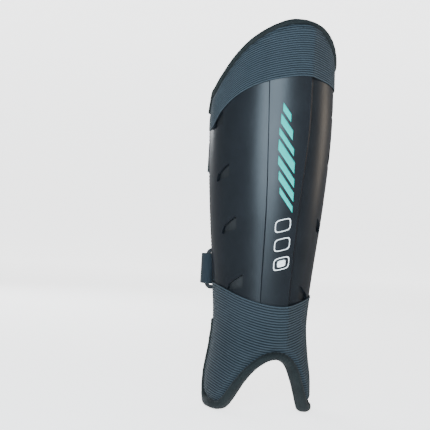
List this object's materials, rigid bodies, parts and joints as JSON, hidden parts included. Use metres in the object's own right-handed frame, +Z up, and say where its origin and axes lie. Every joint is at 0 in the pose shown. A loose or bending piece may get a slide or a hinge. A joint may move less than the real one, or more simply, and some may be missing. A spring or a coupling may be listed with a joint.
{
  "type": "shin guard",
  "caption": "Field-sport shin guard: ridged hard shell on a foam liner, ribbed cuff, ankle sleeve with side pads, and hook-and-loop calf straps.",
  "frame": {"origin": "on the leg's axis, level with the lowest point of the ankle pads", "axes": "+Z up the shin, -Y the front, +X the wearer's right as the guard is worn"},
  "size_m": [0.1232, 0.1283, 0.3754],
  "materials": {
    "shell_plastic": "satin moulded, with a soft sheen",
    "eva_foam": "closed-cell foam, skived edges",
    "brushed_lining": "brushed knit",
    "binding_tape": "folded woven tape",
    "ribbed_elastic": "ribbed elastic",
    "rim_fabric": "smooth knit over foam",
    "strap_webbing": "woven elastic webbing",
    "loop_pile": "looped pile",
    "hook_tape": "moulded hooks on tape",
    "ring_plastic": "moulded, slightly grained"
  },
  "bodies": {
    "guard": {"shell": "shell_plastic", "foam_liner": "eva_foam", "lining_fabric": "brushed_lining", "left_binding": "binding_tape", "right_binding": "binding_tape", "top_cuff": "ribbed_elastic", "top_bumper": "rim_fabric", "ankle_sleeve": "ribbed_elastic", "upper_strap": "strap_webbing", "upper_loop_patch": "loop_pile", "upper_ring": "ring_plastic", "upper_keeper": "strap_webbing", "lower_strap": "strap_webbing", "lower_loop_patch": "loop_pile", "lower_ring": "ring_plastic", "lower_keeper": "strap_webbing"},
    "ankle": {"ankle_lining": "brushed_lining", "instep_pad": "eva_foam", "left_ankle_pad": "eva_foam", "right_ankle_pad": "eva_foam", "ankle_bumper": "rim_fabric"},
    "upper_tab": {"upper_tab": "strap_webbing", "upper_hook_patch": "hook_tape"},
    "lower_tab": {"lower_tab": "strap_webbing", "lower_hook_patch": "hook_tape"}
  },
  "joints": [
    {"name": "ankle_flex", "type": "hinge", "parent": "guard", "child": "ankle", "pos_m": [0, 0.004, 0.088], "axis": [1, 0, 0], "range_deg": [-15, 15], "stiffness_Nm_per_rad": 1.2, "deforming": ["ankle_sleeve"]},
    {"name": "upper_tab_peel", "type": "hinge", "parent": "guard", "child": "upper_tab", "pos_m": [-0.0569, 0.031, 0.244], "axis": [0, 0, 1], "range_deg": [0, 105]},
    {"name": "lower_tab_peel", "type": "hinge", "parent": "guard", "child": "lower_tab", "pos_m": [-0.0577, 0.031, 0.132], "axis": [0, 0, 1], "range_deg": [0, 105]}
  ]
}
